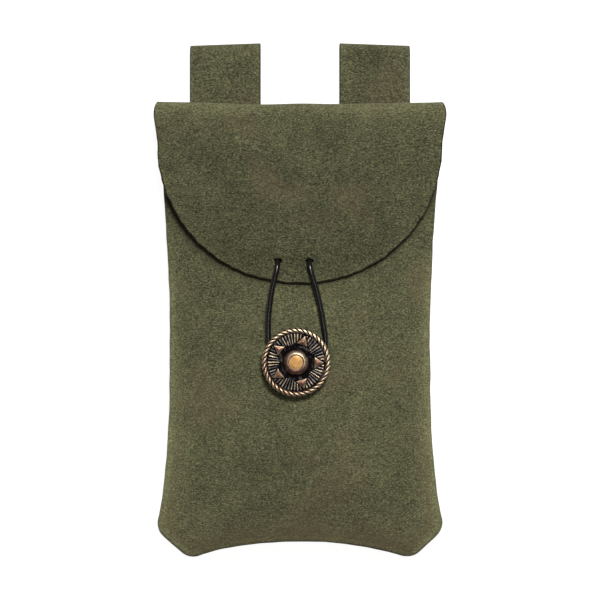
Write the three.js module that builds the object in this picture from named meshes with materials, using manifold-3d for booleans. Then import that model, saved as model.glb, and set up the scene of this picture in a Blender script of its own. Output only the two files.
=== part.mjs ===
// A medieval belt pouch in suede, lying on its back with its flap closed.
// The hide is one piece: it forms the back, folds over the top and comes down the front as the flap.
// The front panel is sewn to it and turned, so the seam runs in a groove between two rolled edges.
// Lengths are in millimetres. X runs across the pouch, Y up towards the belt loops, Z out of the front.
// Until the group is placed at the end, Y is 0 at the top fold and the floor is at Z 0.
import * as THREE from "three";
import { mergeVertices } from "three/addons/utils/BufferGeometryUtils.js";
import Module from "manifold-3d";

const { lerp, smoothstep, degToRad } = THREE.MathUtils;

// Leather and clearances
const leather = 1.6;
const seamGap = 0.3;
const layGap = 0.3;
const flapClearance = 0.8;

// Body, seen from the front. "Down" is measured from the top fold.
const pouchHeight = 178.5;
const mouthWidth = 111;
const mouthDown = 13;
const waistWidth = 102.6;
const waistDown = 90;
const hemWidth = 113.6;
const cutRise = 10.2;
const hemArch = 5.3;
const lobeSpacing = 78.8;
const cornerCut = 13;
const cornerRound = 4.5;

// Body, seen from the side
const foldDepth = 12;
const edgeRoll = 2;
const edgeTuck = degToRad(37);
const seamHeightBelly = 11;
const seamHeightMouth = 14.2;
const bellyRise = 13;
const mouthRise = 1.6;
const backSink = 1.8;
const backEase = 0.8;
const frontCrown = { reach: 50, power: 2.2 };
const backCrown = { reach: 26, power: 3 };

// Fold and flap
const foldWidth = 114.6;
const foldCornerTuck = 1.1;
const foldDip = 1;
const flapLength = 71.4;
const flapRoundDown = 16;
const flapRoundWidth = 111.4;
const flapPower = 2.06;
const flapEdgeLift = 2.4;
const flapCentreDown = 34;

// Belt loops
const loopWidth = 27.9;
const loopInset = 13.8;
const loopRise = 23.8;
const loopSlant = 1;
const beltGap = 6;
const loopSlotDown = 26;
const loopSeamDown = 40;
const loopTail = 14;

// Closure cord, its holes and its knots
const cordDiameter = 2.2;
const cordHoleClearance = 0.35;
const knotDiameter = 4.6;
const knotThickness = 2.8;
const knotDown = 57;
const knotSpacing = 12;
const knotAcross = -2.45;
const knotBumpWidth = 5.4;
const knotPress = 0.8;

// Concho and the post behind it
const conchoDiameter = 26.8;
const conchoAcross = -1.5;
const conchoDown = 102.1;
const conchoPlate = 1.5;
const ropeWidth = 2.1;
const ropeHeight = 1.1;
const ropeGroove = 0.45;
const ropeStrands = 38;
const ropeTwist = degToRad(12);
const rayCount = 54;
const rayHeight = 0.55;
const rayInner = 6.1;
const bossDiameter = 10.6;
const bossHeight = 3.3;
const pyramidCount = 5;
const pyramidTurn = degToRad(-1);
const pyramidWidth = 4.4;
const pyramidHeight = 1.2;
const pyramidInner = 7.1;
const pyramidOuter = 10.8;
const postDiameter = 4;
const postHeadDiameter = 9;
const postHeadThickness = 1;

// Colours and finishes
const suede = { color: 0x5a5843, roughness: 0.95, metalness: 0 };
const blackCord = { color: 0x201d17, roughness: 0.45, metalness: 0 };
const antiqueBrass = { color: 0x8a6a45, roughness: 0.4, metalness: 1 };

// The cord's route, from behind the flap, out of its left hole, below the post and back in.
// A point is across, up from the fold and out from the floor.
const cordRoute = [
  [-8.4, -59.6, 25.9],
  [-8.45, -60.9, 26.3],
  [-8.5, -62.1, 27.4],
  [-8.6, -63.3, 28.7],
  [-8.8, -64.9, 29.6],
  [-9.2, -67, 29.9],
  [-9.8, -69.4, 29.75],
  [-11, -74.8, 29.4],
  [-12, -82, 29],
  [-12.4, -88.6, 28.8],
  [-12.2, -93.8, 28.7],
  [-11.2, -98.3, 28.7],
  [-8.8, -102.3, 28.7],
  [-5.4, -104.9, 28.7],
  [-1.2, -105.9, 28.7],
  [3, -104.9, 28.7],
  [6.6, -102.3, 28.7],
  [9.2, -98.3, 28.7],
  [9.9, -93.8, 28.7],
  [9.3, -88.6, 28.8],
  [8.2, -82, 29],
  [6.6, -74.8, 29.4],
  [5, -69.4, 29.75],
  [4.25, -67, 29.9],
  [3.8, -64.9, 29.6],
  [3.6, -63.3, 28.7],
  [3.55, -62.1, 27.4],
  [3.55, -60.9, 26.3],
  [3.55, -59.6, 25.9],
];
const routeInFlap = 6;

const wasm = await Module();
wasm.setup();

const half = (size) => size / 2;
const sum = (numbers) => numbers.reduce((total, n) => total + n, 0);
const edgeHalf = edgeRoll * (1 + Math.sin(edgeTuck));
const loopDepth = beltGap + 2 * leather;
const backLevel = loopDepth + layGap;
const foldTop = backLevel + foldDepth;
const foldRadius = half(foldDepth);
const flapSideDown = half(foldRadius + flapRoundDown);
const hemDown = pouchHeight - cutRise;
const loopSpacing = foldWidth - loopWidth - 2 * loopInset;

// Shape of the body

function sideEdge(y) {
  const above = Math.max(0, (waistDown + y) / (waistDown - mouthDown));
  const below = Math.max(0, (-y - waistDown) / (hemDown - waistDown));
  const shoulder = half(mouthWidth - waistWidth) * above ** 1.7;
  const flare = half(hemWidth - waistWidth) * below ** 3.2;
  return half(waistWidth) + shoulder + flare;
}

function bottomEdge(x) {
  const share = Math.abs(x) / half(lobeSpacing);
  return hemArch - pouchHeight - hemArch * share ** 2.2;
}

const hemPoint = (x) => new THREE.Vector2(x, bottomEdge(x));
const hemCorner = new THREE.Vector2(half(hemWidth), -hemDown);
const lobeCorner = hemPoint(half(hemWidth) - cornerCut);
const cutLine = lobeCorner.clone().sub(hemCorner).normalize();
const cutNormal = new THREE.Vector2(-cutLine.y, cutLine.x);

// How far inside the seam a point is: the distances to the side, the hem and the cut corner, blended.
function edgeDistance(x, y) {
  const across = Math.abs(x);
  const toCut = hemCorner.clone().sub(new THREE.Vector2(across, y)).dot(cutNormal);
  const distances = [sideEdge(y) - across, y - bottomEdge(x), toCut];
  return sum(distances.map((d) => Math.max(d, 0.01) ** -3)) ** (-1 / 3);
}

const crown = ({ reach, power }, d) => 1 - (1 - Math.min(d / reach, 1)) ** power;

const seamHeight = (y) => lerp(seamHeightMouth, seamHeightBelly, smoothstep(-y, 20, 100));

// The knots press the front panel in and lift the flap.
function knotBump(x, y) {
  const spread = 2 * knotBumpWidth ** 2;
  const bump = (side) => {
    const across = x - knotAcross - side * half(knotSpacing);
    return Math.exp(-(across ** 2 + (y + knotDown) ** 2) / spread);
  };
  return bump(-1) + bump(1);
}

function frontHeight(x, y) {
  const d = Math.max(0, edgeDistance(x, y) - edgeRoll);
  const rise = lerp(mouthRise, bellyRise, smoothstep(-y, 5, 100));
  const pressed = knotPress * knotBump(x, y);
  return seamHeight(y) + half(seamGap) + edgeHalf + rise * crown(frontCrown, d) - pressed;
}

// The back is level behind the loops and sags onto the floor below them, where it lies flat.
function backHeight(x, y) {
  const d = Math.max(0, edgeDistance(x, y) - edgeRoll);
  const rim = seamHeight(y) - half(seamGap) - edgeHalf;
  const middle = lerp(backLevel, -backSink, smoothstep(-y, loopSeamDown, waistDown));
  const raw = lerp(rim, middle, crown(backCrown, d));
  if (raw > backEase) return raw;
  return Math.max(0, raw + backEase) ** 2 / (4 * backEase);
}

function flapHeight(x, y) {
  const onBody = Math.sign(x) * Math.min(Math.abs(x), sideEdge(y) - edgeRoll);
  const lift = flapEdgeLift * (Math.abs(x) / half(foldWidth)) ** 2.5;
  const bump = (knotThickness + 3 * layGap) * knotBump(x, y);
  const resting = frontHeight(onBody, y) + flapClearance + leather + lift + bump;
  return lerp(foldTop, resting, smoothstep(-y, foldRadius, 2 * flapRoundDown));
}

// Meshing

const triangleNormal = (a, b, c) => b.clone().sub(a).cross(c.clone().sub(a));

// The corners of a sheet's triangles, from rows of points. A row may end in a point of its neighbour.
function sheetCorners(rows) {
  return rows.slice(1).flatMap((next, i) =>
    next.slice(1).flatMap((far, j) => {
      const [a, b, d] = [rows[i][j], rows[i][j + 1], next[j]];
      const faces = [[a, b, far], [a, far, d]];
      return faces.filter((face) => triangleNormal(...face).length() > 1e-5).flat();
    }),
  );
}

const sheet = (corners) => new THREE.BufferGeometry().setFromPoints(corners);

// A sheet from its right half (side 1) and its left half (side -1), whose rows run in to the middle line.
function bothHalves(rowsOf) {
  const left = rowsOf(-1).map((row) => row.toReversed());
  return sheet([...sheetCorners(rowsOf(1)), ...sheetCorners(left)]);
}

// A closed wall: the sheet, its copy one thickness behind it, and a strip along every open edge.
function thicken(open, thickness) {
  const outer = mergeVertices(open, 1e-3);
  outer.computeVertexNormals();
  const { position, normal } = outer.attributes;
  const { count } = position;
  const points = new Float32Array(count * 6);
  for (let i = 0; i < count; i++) {
    const point = new THREE.Vector3().fromBufferAttribute(position, i);
    const inward = new THREE.Vector3().fromBufferAttribute(normal, i).negate();
    point.toArray(points, 3 * i);
    point.addScaledVector(inward, thickness).toArray(points, 3 * (count + i));
  }
  const faces = [];
  const openEdges = new Map();
  const index = Array.from(outer.index.array);
  for (let i = 0; i < index.length; i += 3) {
    const face = index.slice(i, i + 3);
    const [a, b, c] = face;
    faces.push(face, [a + count, c + count, b + count]);
    for (const [from, to] of [[a, b], [b, c], [c, a]]) {
      if (!openEdges.delete(`${to},${from}`)) openEdges.set(`${from},${to}`, [from, to]);
    }
  }
  for (const [from, to] of openEdges.values()) {
    faces.push([to, from, from + count], [to, from + count, to + count]);
  }
  return new THREE.BufferGeometry()
    .setAttribute("position", new THREE.BufferAttribute(points, 3))
    .setIndex(faces.flat());
}

function solid(geometry) {
  const bare = geometry.clone();
  ["normal", "uv"].forEach((name) => bare.deleteAttribute(name));
  const merged = mergeVertices(bare, 1e-3);
  const vertProperties = merged.attributes.position.array;
  const triVerts = new Uint32Array(merged.index.array);
  return new wasm.Manifold(new wasm.Mesh({ numProp: 3, vertProperties, triVerts }));
}

function geometryOf(manifold) {
  const { vertProperties, triVerts } = manifold.getMesh();
  return new THREE.BufferGeometry()
    .setAttribute("position", new THREE.BufferAttribute(vertProperties, 3))
    .setIndex(new THREE.BufferAttribute(triVerts, 1));
}

function piece(name, geometry, finish) {
  const mesh = new THREE.Mesh(geometry, new THREE.MeshStandardMaterial(finish));
  mesh.name = name;
  return mesh;
}

// Rows of the two panels, from the middle of the hem, round the cut corner and up the side

const rollAngles = [-edgeTuck, 0, half(half(Math.PI))];
const rollInset = (angle) => edgeRoll * (1 - Math.cos(angle));
const rollRise = (angle) => edgeRoll * (Math.sin(angle) + Math.sin(edgeTuck));
const inwardShares = [0, 0.13, 0.27, 0.41, 0.55, 0.7, 0.85, 1];
const fanDown = 126;

function roundedCorner(before, corner, after) {
  const towards = (point) => point.clone().sub(corner).setLength(cornerRound).add(corner);
  return new THREE.QuadraticBezierCurve(towards(before), corner, towards(after)).getPoints(4);
}

function panelOutline() {
  const hemSteps = 6;
  const sideSteps = 14;
  const lobe = roundedCorner(hemPoint(lobeCorner.x - 2 * cornerRound), lobeCorner, hemCorner);
  const side = (y) => new THREE.Vector2(sideEdge(y), y);
  const corner = roundedCorner(lobeCorner, hemCorner, side(2 * cornerRound - hemDown));
  const hem = Array.from({ length: hemSteps }, (_, i) => hemPoint((lobe[0].x * i) / hemSteps));
  const sides = Array.from({ length: sideSteps }, (_, i) =>
    side(lerp(corner.at(-1).y, -mouthDown, (i + 1) / sideSteps)),
  );
  return [...hem, ...lobe, ...corner, ...sides];
}

function inwardAt(outline, i) {
  const before = outline[i - 1] ?? new THREE.Vector2(-outline[1].x, outline[1].y);
  const after = outline[i + 1] ?? outline[i];
  const along = after.clone().sub(before).normalize();
  return new THREE.Vector2(-along.y, along.x);
}

// One row of a panel. Facing is 1 for the front and -1 for the back.
function panelRow(outline, i, facing, side) {
  const inward = inwardAt(outline, i);
  const inset = (distance) => outline[i].clone().addScaledVector(inward, distance);
  const rolled = rollAngles.map((angle) => {
    const { x, y } = inset(rollInset(angle));
    const z = seamHeight(y) + facing * (half(seamGap) + rollRise(angle));
    return new THREE.Vector3(side * x, y, z);
  });
  const start = inset(edgeRoll);
  const spine = new THREE.Vector2(0, Math.max(start.y, -fanDown));
  const height = facing > 0 ? frontHeight : backHeight;
  const inner = inwardShares.map((share) => {
    const { x, y } = start.clone().lerp(spine, share);
    return new THREE.Vector3(side * x, y, height(side * x, y));
  });
  return [...rolled, ...inner];
}

function panelRows(facing, side) {
  const outline = panelOutline();
  return outline.map((_, i) => panelRow(outline, i, facing, side));
}

// Rows of the hide past the mouth: its edge unrolls, it turns over the fold and it comes down as the flap

function flatRow(edge, spineY, side, place) {
  const spine = new THREE.Vector2(0, spineY);
  const rim = edgeRoll / edge.distanceTo(spine);
  const outer = rollAngles.map((_, k) => (rim * k) / rollAngles.length);
  const shares = [...outer, ...inwardShares.map((share) => lerp(rim, 1, share))];
  return shares.map((share) => {
    const { x, y } = edge.clone().lerp(spine, share);
    return place(side * x, y);
  });
}

const foldDipAt = (x) => foldDip * (1 - (x / half(foldWidth)) ** 2);

function foldEdge(down) {
  const corner = foldCornerTuck * Math.max(0, 1 - down / foldRadius) ** 3;
  return half(foldWidth) - corner;
}

function unrolledRows(mouthRow, side) {
  return [0.35, 0.7, 1].map((share) => {
    const y = lerp(-mouthDown, -foldRadius, share);
    const edge = new THREE.Vector2(lerp(half(mouthWidth), half(foldWidth), share), y);
    const level = (x) => new THREE.Vector3(x, y - foldDipAt(x) * share, backLevel);
    const flat = smoothstep(share, 0, 0.8);
    const row = flatRow(edge, y, side, level);
    return row.map((point, k) => point.setZ(lerp(mouthRow[k].z, backLevel, flat)));
  });
}

function foldRows(side) {
  return [30, 60, 90, 120, 150].map((degrees) => {
    const turn = degToRad(degrees);
    const y = foldRadius * (Math.sin(turn) - 1);
    const z = foldTop - foldRadius * (1 + Math.cos(turn));
    const edge = new THREE.Vector2(foldEdge(-y), y);
    return flatRow(edge, y, side, (x) => new THREE.Vector3(x, y - foldDipAt(x), z));
  });
}

function flapRows(side) {
  const roundSteps = 14;
  const place = (x, y) => {
    const dip = foldDipAt(x) * (1 - smoothstep(-y, foldRadius, flapRoundDown));
    return new THREE.Vector3(x, y - dip, flapHeight(x, y));
  };
  const sides = [foldRadius, flapSideDown].map((down) => {
    const share = (down - foldRadius) / (flapRoundDown - foldRadius);
    const width = lerp(foldWidth, flapRoundWidth, share);
    return flatRow(new THREE.Vector2(half(width), -down), -down, side, place);
  });
  const round = Array.from({ length: roundSteps + 1 }, (_, i) => {
    const turn = (half(Math.PI) * i) / roundSteps;
    const x = half(flapRoundWidth) * Math.cos(turn) ** (2 / flapPower);
    const y = -lerp(flapRoundDown, flapLength, Math.sin(turn) ** (2 / flapPower));
    return flatRow(new THREE.Vector2(x, y), Math.max(y, -flapCentreDown), side, place);
  });
  return [...sides, ...round];
}

// Pieces

const cordPoints = cordRoute.map((point) => new THREE.Vector3(...point));

function tube(points, radius, sides, steps) {
  const section = new THREE.Shape();
  for (let i = 0; i < sides; i++) {
    const turn = (2 * Math.PI * i) / sides;
    const corner = [radius * Math.cos(turn), radius * Math.sin(turn)];
    if (i === 0) section.moveTo(...corner);
    else section.lineTo(...corner);
  }
  const extrudePath = new THREE.CatmullRomCurve3(points);
  return new THREE.ExtrudeGeometry(section, { steps, extrudePath, bevelEnabled: false });
}

const closureCord = () => tube(cordPoints, half(cordDiameter), 8, 48);

function cordHole(points) {
  return solid(tube(points, half(cordDiameter) + cordHoleClearance, 10, 10));
}

function backPanelFlap() {
  const rows = (side) => {
    const panel = panelRows(-1, side);
    return [...panel, ...unrolledRows(panel.at(-1), side), ...foldRows(side), ...flapRows(side)];
  };
  return geometryOf(
    solid(thicken(bothHalves(rows), leather))
      .subtract(cordHole(cordPoints.slice(0, routeInFlap)))
      .subtract(cordHole(cordPoints.slice(-routeInFlap))),
  );
}

function upright(geometry) {
  return geometry.rotateX(half(Math.PI));
}

function frontPanel() {
  const radius = half(postDiameter) + layGap;
  const hole = upright(new THREE.CylinderGeometry(radius, radius, 4 * leather, 16));
  hole.translate(conchoAcross, -conchoDown, frontHeight(conchoAcross, -conchoDown));
  const panel = thicken(bothHalves((side) => panelRows(1, side).reverse()), leather);
  return geometryOf(solid(panel).subtract(solid(hole)));
}

// The knot lies between the front panel and the flap.
function cordKnot(side) {
  const x = knotAcross + side * half(knotSpacing);
  const seat = frontHeight(x, -knotDown) + layGap;
  const knot = new THREE.SphereGeometry(half(knotDiameter), 12, 8);
  knot.scale(1, 1, knotThickness / knotDiameter);
  return knot.translate(x, -knotDown, seat + half(knotThickness));
}

// A strap folded into a loop: one leg up the back, over, down the floor side and back under itself.
// Its profile is drawn in Y and Z, then laid across the back.
function beltLoop(side) {
  const outerRadius = half(loopDepth);
  const top = loopRise - outerRadius;
  const seamTop = (y) => backHeight(half(loopSpacing - loopWidth), y) - layGap;
  const rear = (y) => (seamTop(y) - 2 * leather) * smoothstep(-y, loopSlotDown, loopSeamDown);
  const steps = [0, 0.25, 0.5, 0.75, 1];
  const tailY = steps.map((share) => -lerp(loopSeamDown, loopSeamDown + loopTail, share));
  const slotY = steps.map((share) => -lerp(loopSlotDown, loopSeamDown, share));
  const rise = slotY.slice(1, -1).reverse();
  const at = (y, z) => new THREE.Vector2(y, z);
  const quarter = half(Math.PI);
  const bend = (radius) =>
    new THREE.EllipseCurve(top, outerRadius, radius, radius, -quarter, quarter).getPoints(8);
  const profile = new THREE.Shape([
    at(-loopSlotDown, 0),
    ...bend(outerRadius),
    ...tailY.map((y) => at(y, seamTop(y))),
    ...tailY.toReversed().map((y) => at(y, seamTop(y) - 2 * leather)),
    ...rise.map((y) => at(y, rear(y))),
  ]);
  const slot = new THREE.Path([
    at(-loopSlotDown, leather),
    ...bend(outerRadius - leather),
    at(-loopSeamDown, loopDepth - leather),
    ...rise.map((y) => at(y, rear(y) + leather)),
  ]);
  profile.holes.push(slot);
  const loop = new THREE.ExtrudeGeometry(profile, { depth: loopWidth, bevelEnabled: false });
  const [across, up, out] = [0, 1, 2].map((axis) => new THREE.Vector3().setComponent(axis, 1));
  loop.applyMatrix4(new THREE.Matrix4().makeBasis(up, out, across));
  const { position } = loop.attributes;
  for (let i = 0; i < position.count; i++) {
    const outward = side > 0 ? position.getX(i) : loopWidth - position.getX(i);
    const raised = Math.max(0, position.getY(i)) / loopRise;
    position.setY(i, position.getY(i) - (loopSlant * raised * outward) / loopWidth);
  }
  return loop.translate(half(side * loopSpacing - loopWidth), 0, 0);
}

const conchoSeat = frontHeight(conchoAcross, -conchoDown) + cordDiameter + 3 * layGap;

// The concho's relief above its plate, at a distance and an angle from its middle
const bossStations = [
  { across: 1, rise: 0 },
  { across: 0.9, rise: 0.75 },
  { across: 0.6, rise: 1 },
  { across: 0, rise: 0.96 },
];
const ropeStations = [1, 0.78, 0.5, 0.22, 0];

function ropeRelief(share, turn) {
  const strand = Math.cos(ropeStrands * (turn - ropeTwist * share));
  return ropeHeight * Math.sin(Math.PI * share) * (1 - ropeGroove * half(1 - strand));
}

function conchoRings() {
  const outer = half(conchoDiameter);
  const ropeInner = outer - ropeWidth;
  const ray = (turn) => conchoPlate + rayHeight * half(1 + Math.cos(rayCount * turn));
  const rope = ropeStations.map((share) => ({
    radius: ropeInner + share * ropeWidth,
    height: (turn) => conchoPlate + ropeRelief(share, turn),
  }));
  const boss = bossStations.map(({ across, rise }) => ({
    radius: across * half(bossDiameter),
    height: () => conchoPlate + rise * bossHeight,
  }));
  return [
    { radius: 0, height: () => 0 },
    { radius: outer - half(conchoPlate), height: () => 0 },
    ...rope,
    { radius: ropeInner - half(rayHeight), height: ray },
    { radius: rayInner, height: ray },
    ...boss,
  ];
}

// A three-sided point, sunk into the plate, that points out from the middle
function pyramid(k) {
  const base = [
    new THREE.Vector3(pyramidInner, -half(pyramidWidth), 0),
    new THREE.Vector3(pyramidOuter, 0, 0),
    new THREE.Vector3(pyramidInner, half(pyramidWidth), 0),
  ];
  const middle = new THREE.Vector3();
  base.forEach((corner) => middle.addScaledVector(corner, 1 / base.length));
  const peak = middle.clone().setZ(conchoPlate + pyramidHeight);
  const foot = middle.clone().setZ(half(conchoPlate));
  base.forEach((corner) => corner.setZ(conchoPlate));
  const faces = base.flatMap((corner, i) => {
    const next = base[(i + 1) % base.length];
    return [corner, next, peak, next, corner, foot];
  });
  return sheet(faces).rotateZ(pyramidTurn + (2 * Math.PI * k) / pyramidCount);
}

function concho() {
  const samples = 2 * rayCount;
  const rows = conchoRings().map(({ radius, height }) =>
    Array.from({ length: samples + 1 }, (_, k) => {
      const turn = (2 * Math.PI * (k % samples)) / samples;
      return new THREE.Vector3(radius * Math.cos(turn), radius * Math.sin(turn), height(turn));
    }),
  );
  const disc = solid(sheet(sheetCorners(rows)));
  const pyramids = Array.from({ length: pyramidCount }, (_, k) => solid(pyramid(k)));
  const cast = pyramids.reduce((whole, point) => whole.add(point), disc);
  return geometryOf(cast).translate(conchoAcross, -conchoDown, conchoSeat);
}

// A rivet: its head lies inside the pouch and its shaft stands up through the front panel.
function conchoPost() {
  const panelInside = frontHeight(conchoAcross, -conchoDown) - leather;
  const headTop = panelInside - layGap;
  const profile = [
    [0, headTop - postHeadThickness],
    [half(postHeadDiameter), headTop - postHeadThickness],
    [half(postHeadDiameter), headTop],
    [half(postDiameter), headTop],
    [half(postDiameter), conchoSeat - layGap],
    [0, conchoSeat - layGap],
  ].map(([radius, height]) => new THREE.Vector2(radius, height));
  const post = upright(new THREE.LatheGeometry(profile, 16));
  return post.translate(conchoAcross, -conchoDown, 0);
}

const pouch = new THREE.Group();
pouch.add(
  piece("back_panel_flap", backPanelFlap(), suede),
  piece("front_panel", frontPanel(), suede),
  piece("belt_loop_left", beltLoop(-1), suede),
  piece("belt_loop_right", beltLoop(1), suede),
  piece("closure_cord", closureCord(), blackCord),
  piece("cord_knot_left", cordKnot(-1), blackCord),
  piece("cord_knot_right", cordKnot(1), blackCord),
  piece("concho", concho(), antiqueBrass),
  piece("concho_post", conchoPost(), antiqueBrass),
);

// The origin is the middle of the underside.
const bounds = new THREE.Box3().setFromObject(pouch);
const centre = bounds.getCenter(new THREE.Vector3());
pouch.position.set(-centre.x, -centre.y, -bounds.min.z);

export default pouch;
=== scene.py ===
"""The looks of a medieval belt pouch in olive suede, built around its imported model.

Lengths are in millimetres until a mesh is made. X runs across the pouch, Y up towards the belt loops
and Z out of its front, up from the floor. In the shape functions Y is 0 at the top fold.
"""

import math

import bpy
import numpy as np
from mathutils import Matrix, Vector


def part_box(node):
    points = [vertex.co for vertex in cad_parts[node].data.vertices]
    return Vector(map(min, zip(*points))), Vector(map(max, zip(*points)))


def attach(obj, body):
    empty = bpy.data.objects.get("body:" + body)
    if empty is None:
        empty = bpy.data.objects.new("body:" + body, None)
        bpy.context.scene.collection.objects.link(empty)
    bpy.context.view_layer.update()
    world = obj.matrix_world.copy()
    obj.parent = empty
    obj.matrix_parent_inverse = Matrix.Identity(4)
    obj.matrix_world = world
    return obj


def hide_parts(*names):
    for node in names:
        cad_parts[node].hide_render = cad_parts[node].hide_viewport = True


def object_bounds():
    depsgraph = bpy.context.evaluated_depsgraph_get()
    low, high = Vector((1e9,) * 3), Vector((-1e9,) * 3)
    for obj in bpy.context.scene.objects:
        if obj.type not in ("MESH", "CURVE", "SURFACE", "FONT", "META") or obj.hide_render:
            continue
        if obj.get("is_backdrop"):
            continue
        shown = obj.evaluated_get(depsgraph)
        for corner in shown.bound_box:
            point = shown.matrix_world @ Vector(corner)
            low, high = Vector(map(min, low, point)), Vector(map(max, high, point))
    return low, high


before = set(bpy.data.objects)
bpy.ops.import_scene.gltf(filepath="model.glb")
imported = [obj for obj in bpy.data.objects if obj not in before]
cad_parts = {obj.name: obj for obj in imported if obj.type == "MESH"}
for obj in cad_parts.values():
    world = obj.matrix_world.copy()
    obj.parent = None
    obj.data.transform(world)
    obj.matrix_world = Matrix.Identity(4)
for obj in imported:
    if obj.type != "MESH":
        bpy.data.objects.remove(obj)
cad_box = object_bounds()

MM = 1000

# Leather and clearances
LEATHER = 1.6
RAW_EDGE = 0.5
SEAM_GAP = 0.3
LAY_GAP = 0.3
FLAP_CLEARANCE = 0.8

# Body, seen from the front. "Down" is measured from the top fold.
POUCH_HEIGHT = 178.5
MOUTH_WIDTH = 111
MOUTH_DOWN = 13
WAIST_WIDTH = 102.6
WAIST_DOWN = 90
HEM_WIDTH = 113.6
CUT_RISE = 10.2
HEM_ARCH = 5.3
LOBE_SPACING = 78.8
CORNER_CUT = 13
CORNER_ROUND = 4.5
FAN_DOWN = 126
SHOULDER_POWER = 1.7
FLARE_POWER = 3.2
HEM_ARCH_POWER = 2.2

# Body, seen from the side
FOLD_DEPTH = 12
EDGE_ROLL = 2
EDGE_TUCK = math.radians(37)
SEAM_HEIGHT_BELLY = 11
SEAM_HEIGHT_MOUTH = 14.2
BELLY_RISE = 13
MOUTH_RISE = 1.6
BACK_SINK = 1.8
BACK_EASE = 0.8
FRONT_CROWN = {"reach": 50, "power": 2.2}
BACK_CROWN = {"reach": 26, "power": 3}
SEAM_DROP_DOWN = (20, 100)
BELLY_DOWN = (5, 100)
BACK_DENTS_DOWN = (62, 80)

# Fold and flap
FOLD_WIDTH = 114.6
FOLD_CORNER_TUCK = 1.1
FOLD_DIP = 1
FLAP_LENGTH = 71.4
FLAP_ROUND_DOWN = 16
FLAP_ROUND_WIDTH = 111.4
FLAP_POWER = 2.06
FLAP_EDGE_LIFT = 2.4
FLAP_LIFT_POWER = 2.5
FLAP_LEFT_LIFT = 2.2
FLAP_LEFT_POWER = 3
FLAP_CENTRE_DOWN = 34

# Belt loops
LOOP_WIDTH = 27.9
LOOP_INSET = 13.8
LOOP_RISE = 23.8
LOOP_SLANT = 1
BELT_GAP = 6
LOOP_SLOT_DOWN = 26
LOOP_SEAM_DOWN = 40
LOOP_TAIL = 14

# Closure cord and its knots
CORD_DIAMETER = 2.2
CORD_HOLE = 2.4
SLIT_STEP = 0.5
SLIT_SHIFT = 0.15
KNOT_DIAMETER = 4.6
KNOT_THICKNESS = 2.8
KNOT_DOWN = 57
KNOT_SPACING = 12
KNOT_ACROSS = -2.45
KNOT_BUMP_WIDTH = 5.4
KNOT_PRESS = 0.8
KNOT_TURNS = 3
KNOT_GROOVE = 0.2

# Concho and the post behind it
CONCHO_DIAMETER = 26.8
CONCHO_ACROSS = -1.5
CONCHO_DOWN = 102.1
CONCHO_PLATE = 1.5
CONCHO_EDGE = 0.25
CONCHO_BEVEL = 0.8
ROPE_WIDTH = 2.1
ROPE_HEIGHT = 1.1
ROPE_GROOVE = 0.45
ROPE_STRANDS = 38
ROPE_TWIST = math.radians(12.5)
RAY_COUNT = 54
RAY_HEIGHT = 0.75
RAY_INNER = 6.1
RAY_FIELD_SINK = 0.15
BOSS_DIAMETER = 10.6
BOSS_HEIGHT = 3.3
DISH_DIAMETER = 6
DISH_DEPTH = 0.45
PYRAMID_COUNT = 5
PYRAMID_TURN = math.radians(-1)
PYRAMID_WIDTH = 4.4
PYRAMID_HEIGHT = 1.2
PYRAMID_INNER = 7.1
PYRAMID_OUTER = 10.8
PYRAMID_STEP = 0.55
PYRAMID_SLOPE = 0.3
PYRAMID_ROUNDING = 4
PYRAMID_TO_BOSS = 1.2
POST_HOLE = 4.6

# What the leather's making and wear add to its shape
EDGE_WOBBLE = 0.12
DENT = 0.3
FRONT_DENT_EASE = 18
BACK_DENT_EASE = 10
WOBBLE_EASE = 12
FLAP_WOBBLE_EASE = 20
PUCKER = 0.22
PUCKER_REACH = 3.5
PUCKER_LENGTH = 9.5
FOLD_SAG = 0.12

# Wear, painted sheen and highlight, and painted shade: how far each reaches from an edge, how wide it
# is, and between which places it grows to full
SIDE_RUB_AND_SHEEN_REACH = 3.2
SIDE_RUB_AND_SHEEN_DOWN = (40, 80)
HEM_BROWN_REACH = 7
STRIPE_INSET = 4.2
STRIPE_WIDTH = 2.4
STRIPE_DOWN = (95, 150)
CORNER_RUB_INSET = 1.5
CORNER_RUB_WIDTH = 1.1
CORNER_RUB_ACROSS = (38, 46)
HEM_SEAM_DARK_WIDTH = 0.5
RIGHT_SHADE_ACROSS = (15, 50)
FOLD_RUB_AND_HIGHLIGHT_REACH = 5
FOLD_SHEEN_REACH = 30
FLAP_EDGE_RUB_SHARE = 1 / 26
FLAP_MIDDLE_WIDTH = 32
LOOP_FOLD_RUB_REACH = 2.5
LOOP_EDGE_RUB_REACH = 1.5

# Painted shadow along the flap's edge, wider on the left, where the edge lifts. The flap's half width
# turns a share of its reach into millimetres.
FLAP_SHADOW_WIDTHS = (0.9, 2.6)
FLAP_SHADOW_LEFT_ACROSS = (10, 45)
FLAP_SHADOW_HALO = 2.4
FLAP_SHADOW_START = (-8, -2)
FLAP_HALF = 55

# How finely the pieces are drawn: a spacing, steps, rows and columns of points
ROW_STEP = 1.1
INWARD_STEPS = 42
ROLL_STEPS = 8
ROUTE_STEPS = 6
LOOP_STEPS = 65
KNOT_GRID = (40, 64)
STRAND_COLUMNS = 24
FACE_ROWS = 72
ROPE_ROWS = 22

# Thread
THREAD = 0.7
STITCH_LENGTH = 2.7
STITCH_PITCH = 3.5
STITCH_RISE = 0.385
STITCH_DIP_SHARE = 0.6
SEAM_THREAD = 0.56
SEAM_THREAD_INSET = 1.1
SEAM_THREAD_SLANT = 0.5
SEAM_THREAD_HALF = 1.4
BOX_INSET = 3.2

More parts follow.
